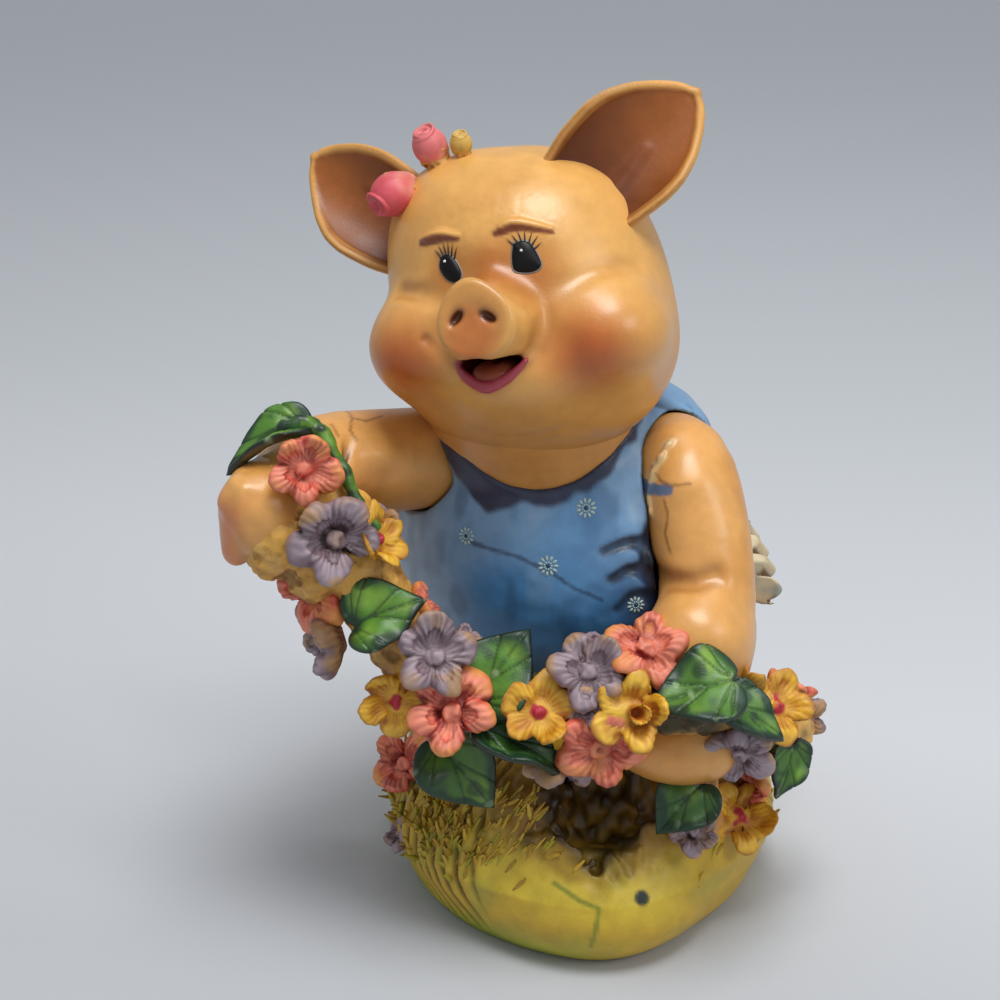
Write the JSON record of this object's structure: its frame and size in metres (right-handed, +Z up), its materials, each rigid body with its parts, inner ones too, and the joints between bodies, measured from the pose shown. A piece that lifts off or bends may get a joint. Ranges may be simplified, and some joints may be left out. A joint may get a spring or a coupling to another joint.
{
  "type": "pig figurine",
  "caption": "Cast pig figurine in a blue dress, kneeling on a grass mound and holding a garland of flowers.",
  "frame": {"origin": "middle of the mound's flat underside, on the surface that it stands on", "axes": "+Z up, -Y the way the pig faces, +X to the pig's left"},
  "size_m": [0.1064, 0.085, 0.1472],
  "materials": {
    "skin_paint": "satin peach paint with ochre in the hollows",
    "blue_paint": "satin blue paint, navy in the hollows",
    "cream_paint": "matt cream paint with brown and teal washes",
    "grass_paint": "satin yellow-ochre and lime paint",
    "clay": "bare matt ochre casting, rough",
    "pink_paint": "matt pink paint",
    "lilac_paint": "matt lilac paint",
    "yellow_paint": "matt yellow paint with pink centres",
    "leaf_paint": "matt green paint with dark edges"
  },
  "bodies": {
    "root": {"arm_left": "skin_paint", "arm_right": "skin_paint", "dress": "blue_paint", "dress_frill": "cream_paint", "ear_left": "skin_paint", "ear_right": "skin_paint", "flower_lilac_1": "lilac_paint", "flower_lilac_10": "lilac_paint", "flower_lilac_11": "lilac_paint", "flower_lilac_2": "lilac_paint", "flower_lilac_3": "lilac_paint", "flower_lilac_4": "lilac_paint", "flower_lilac_5": "lilac_paint", "flower_lilac_6": "lilac_paint", "flower_lilac_7": "lilac_paint", "flower_lilac_8": "lilac_paint", "flower_lilac_9": "lilac_paint", "flower_pink_1": "pink_paint", "flower_pink_2": "pink_paint", "flower_pink_3": "pink_paint", "flower_pink_4": "pink_paint", "flower_pink_5": "pink_paint", "flower_pink_6": "pink_paint", "flower_pink_7": "pink_paint", "flower_yellow_1": "yellow_paint", "flower_yellow_2": "yellow_paint", "flower_yellow_3": "yellow_paint", "flower_yellow_4": "yellow_paint", "flower_yellow_5": "yellow_paint", "flower_yellow_6": "yellow_paint", "garland_foot": "clay", "garland_rope": "clay", "grass_base": "grass_paint", "head": "skin_paint", "hips": "skin_paint", "leaf_1": "leaf_paint", "leaf_2": "leaf_paint", "leaf_3": "leaf_paint", "leaf_4": "leaf_paint", "leaf_5": "leaf_paint", "leaf_6": "leaf_paint", "leaf_7": "leaf_paint", "leaf_8": "leaf_paint", "leaf_hand": "leaf_paint", "leaf_mound": "leaf_paint", "neck": "skin_paint", "rosebud_high": "pink_paint", "rosebud_low": "pink_paint", "rosebud_small": "yellow_paint", "tail": "skin_paint", "vine": "leaf_paint"}
  },
  "joints": []
}
